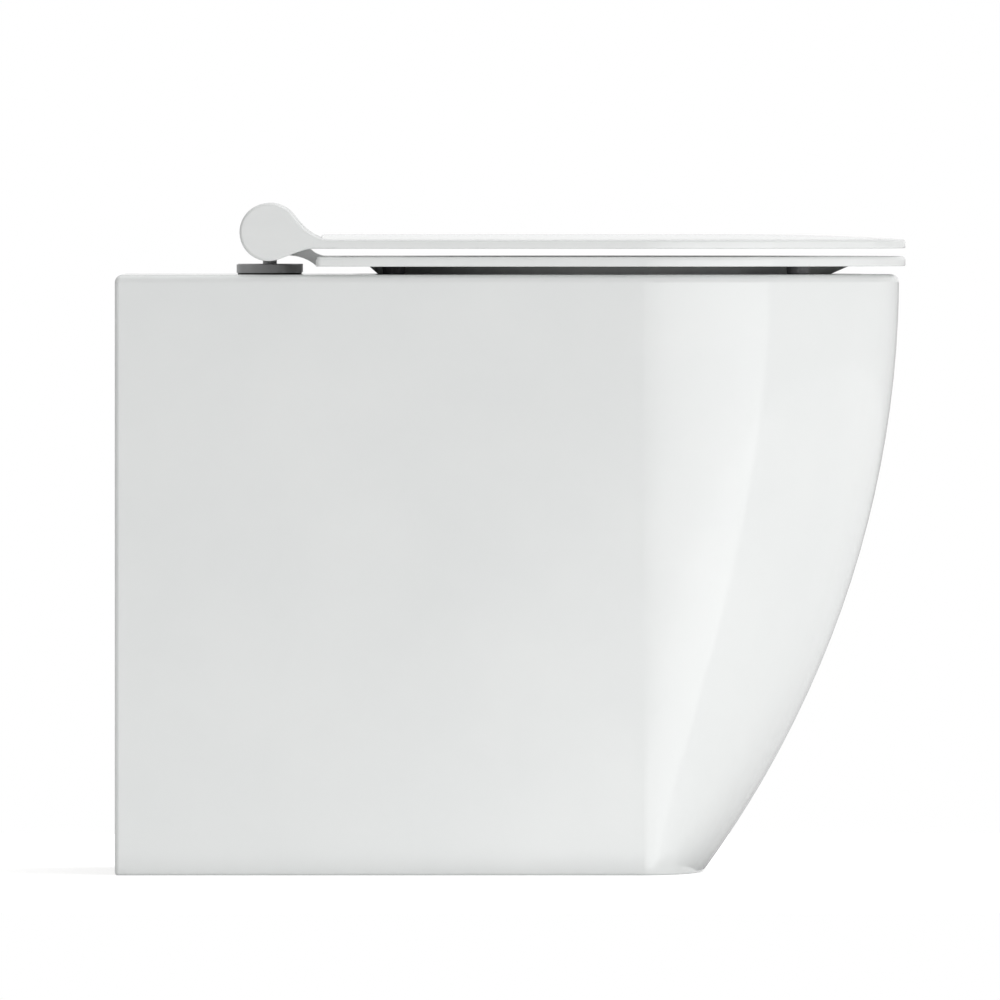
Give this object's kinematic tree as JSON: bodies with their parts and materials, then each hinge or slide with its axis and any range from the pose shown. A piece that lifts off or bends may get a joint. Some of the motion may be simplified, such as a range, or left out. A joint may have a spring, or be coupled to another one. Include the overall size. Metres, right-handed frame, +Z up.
{
  "type": "floor-standing toilet",
  "caption": "Back-to-wall floor-standing toilet: D-shaped white glazed pan with a thin seat ring and lid on soft-close hinges.",
  "frame": {"origin": "on the floor, under the middle of the overall box", "axes": "+X from the wall to the front of the pan, +Y to the right as seen from the front, +Z up"},
  "size_m": [0.5544, 0.364, 0.47],
  "materials": {
    "glaze": "gloss white glaze",
    "thermoset": "gloss white",
    "hinge_metal": "satin dark metal",
    "pin_steel": "plain turned steel",
    "seal_rubber": "matte black",
    "bumper_rubber": "matte dark grey",
    "fixing_plastic": "matte white",
    "damper_plastic": "matte dark"
  },
  "bodies": {
    "pan": {"pan_shell": "glaze", "pan_bowl": "glaze", "pan_trapway": "glaze", "pan_flush_horn": "glaze", "flush_inlet_seal": "seal_rubber", "lid_damper_housing": "damper_plastic", "seat_damper_housing": "damper_plastic", "seat_pivot_pin": "pin_steel", "lid_pivot_pin": "pin_steel", "hinge_gasket_left": "seal_rubber", "hinge_base_left": "hinge_metal", "hinge_post_left": "pin_steel", "hinge_body_left": "hinge_metal", "set_screw_left": "pin_steel", "fixing_bush_left": "fixing_plastic", "fixing_washer_left": "pin_steel", "wing_nut_left": "fixing_plastic", "hinge_gasket_right": "seal_rubber", "hinge_base_right": "hinge_metal", "hinge_post_right": "pin_steel", "hinge_body_right": "hinge_metal", "set_screw_right": "pin_steel", "fixing_bush_right": "fixing_plastic", "fixing_washer_right": "pin_steel", "wing_nut_right": "fixing_plastic"},
    "seat": {"seat_ring": "thermoset", "seat_bumpers_front": "bumper_rubber", "seat_bumpers_rear": "bumper_rubber", "seat_damper_rotor": "damper_plastic", "seat_ear_bush": "fixing_plastic"},
    "lid": {"lid": "thermoset", "lid_damper_rotor": "damper_plastic", "lid_ear_bush": "fixing_plastic"}
  },
  "joints": [
    {"name": "seat_hinge", "type": "hinge", "parent": "pan", "child": "seat", "pos_m": [-0.16975, 0, 0.44975], "axis": [0, 1, 0], "range_deg": [-95, 0]},
    {"name": "lid_hinge", "type": "hinge", "parent": "seat", "child": "lid", "pos_m": [-0.16975, 0, 0.44975], "axis": [0, -1, 0], "range_deg": [0, 98]}
  ]
}
